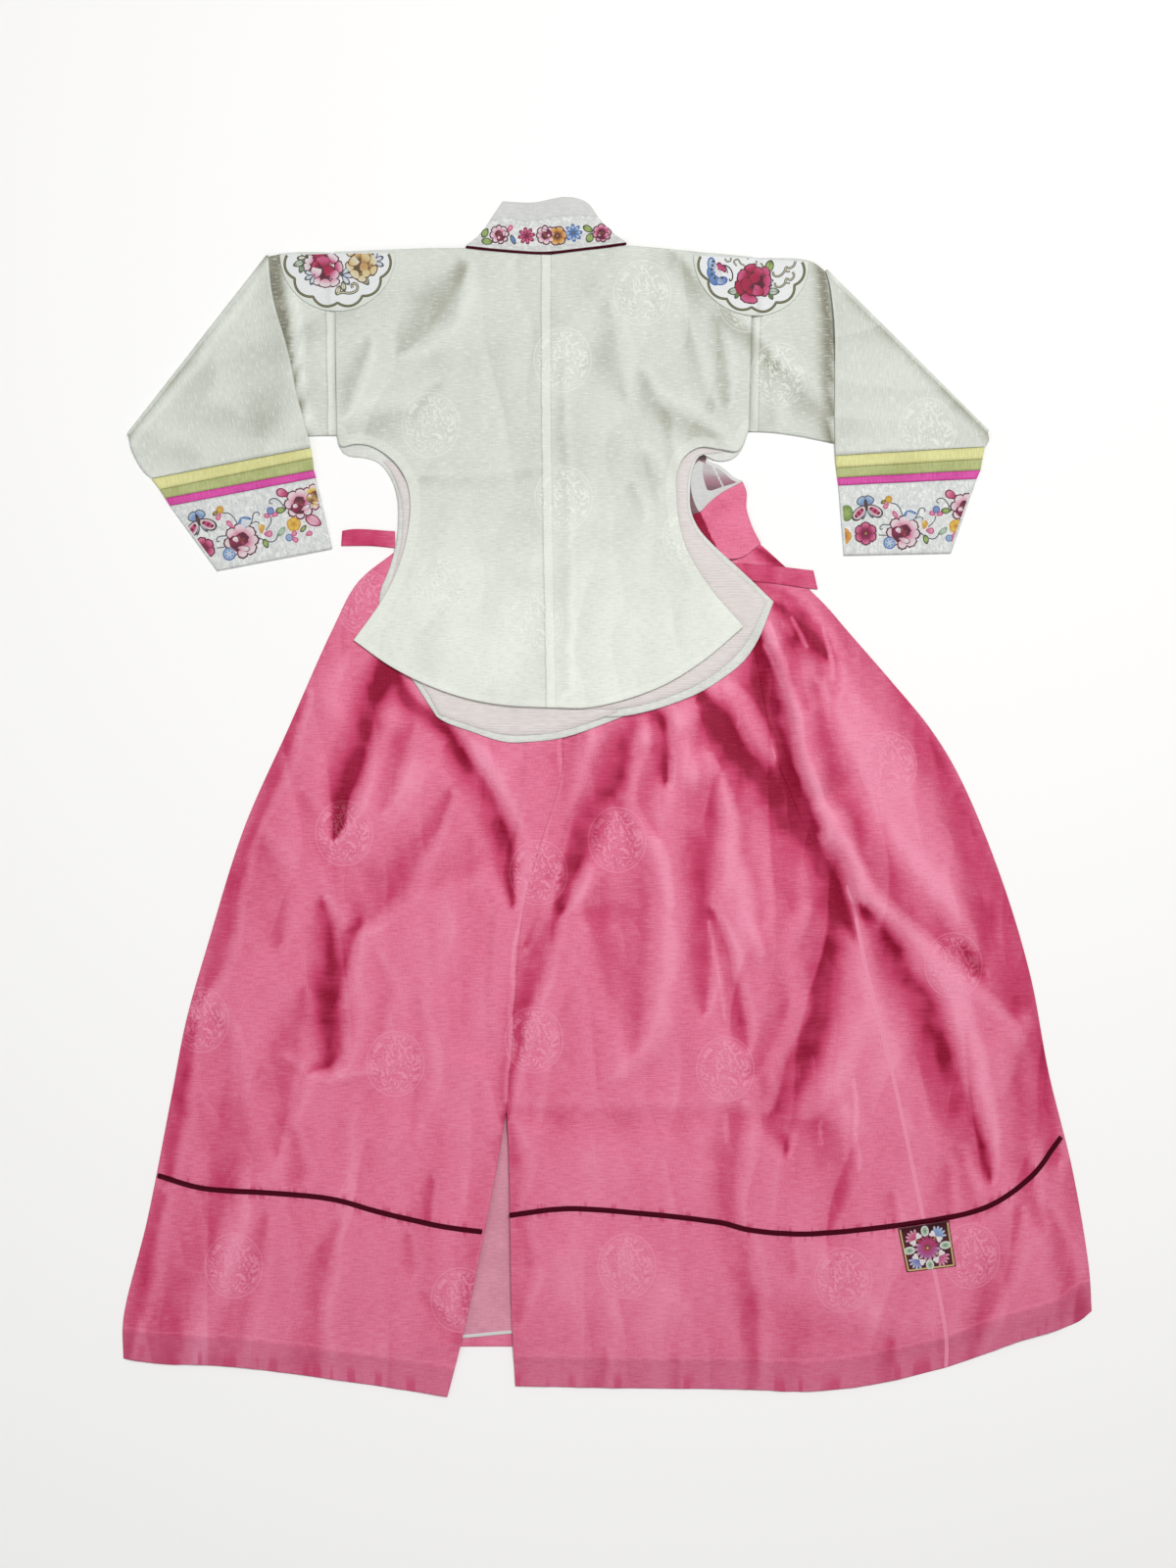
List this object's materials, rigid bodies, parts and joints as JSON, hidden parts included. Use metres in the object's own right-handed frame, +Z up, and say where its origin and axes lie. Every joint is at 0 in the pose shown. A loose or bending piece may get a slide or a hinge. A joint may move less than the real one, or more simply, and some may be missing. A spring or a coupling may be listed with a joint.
{
  "type": "korean hanbok",
  "caption": "Girl's ceremonial hanbok laid flat back side up: long cream jacket with curved sides and embroidered cuffs over a full pink skirt with a back slit.",
  "frame": {"origin": "centre of the whole outline, on the surface that the set lies on", "axes": "+Z up off the surface, +Y from the hem to the collar, +X to the right of the seen back side"},
  "size_m": [0.889, 1.101, 0.0157],
  "materials": {
    "jacket_cream": "slubbed matt silk with a ring pattern woven in, cream",
    "jacket_lining": "thin plain silk, lilac grey",
    "skirt_pink": "patterned satin, rose pink",
    "skirt_lining": "thin plain silk, mauve",
    "facing_white": "plain stiffened cotton, white",
    "embroidered_white": "plain silk ground with satin-stitch flowers, cool white",
    "maroon_braid": "cord piping and patch ground, near-black maroon",
    "stripe_yellow": "plain silk, pale yellow",
    "stripe_green": "plain silk, soft green",
    "stripe_magenta": "plain silk, magenta pink"
  },
  "bodies": {
    "root": {"skirt_front": "skirt_pink", "skirt_lining": "skirt_lining", "skirt_back_left": "skirt_pink", "skirt_back_right": "skirt_pink", "skirt_side_right": "skirt_pink", "hem_piping_left": "maroon_braid", "hem_piping_right": "maroon_braid", "hem_piping_side": "maroon_braid", "hem_badge": "maroon_braid", "bodice_front": "skirt_lining", "bodice_facing": "facing_white", "bodice_strap_left": "skirt_pink", "bodice_strap_right": "skirt_pink", "bodice_back_left": "skirt_pink", "bodice_back_right": "skirt_pink", "waist_tie_left": "skirt_pink", "waist_tie_right": "skirt_pink", "front_left": "jacket_cream", "front_right": "jacket_cream", "front_left_lining": "jacket_lining", "front_right_lining": "jacket_lining", "back_left": "jacket_cream", "back_right": "jacket_cream", "neck_piping": "maroon_braid", "collar_band": "embroidered_white", "collar_white_strip": "facing_white", "sleeve_left": "jacket_cream", "sleeve_right": "jacket_cream", "stripe_yellow_left": "stripe_yellow", "stripe_yellow_right": "stripe_yellow", "stripe_green_left": "stripe_green", "stripe_green_right": "stripe_green", "stripe_magenta_left": "stripe_magenta", "stripe_magenta_right": "stripe_magenta", "cuff_left": "embroidered_white", "cuff_right": "embroidered_white", "shoulder_badge_left": "embroidered_white", "shoulder_badge_right": "embroidered_white"}
  },
  "joints": []
}
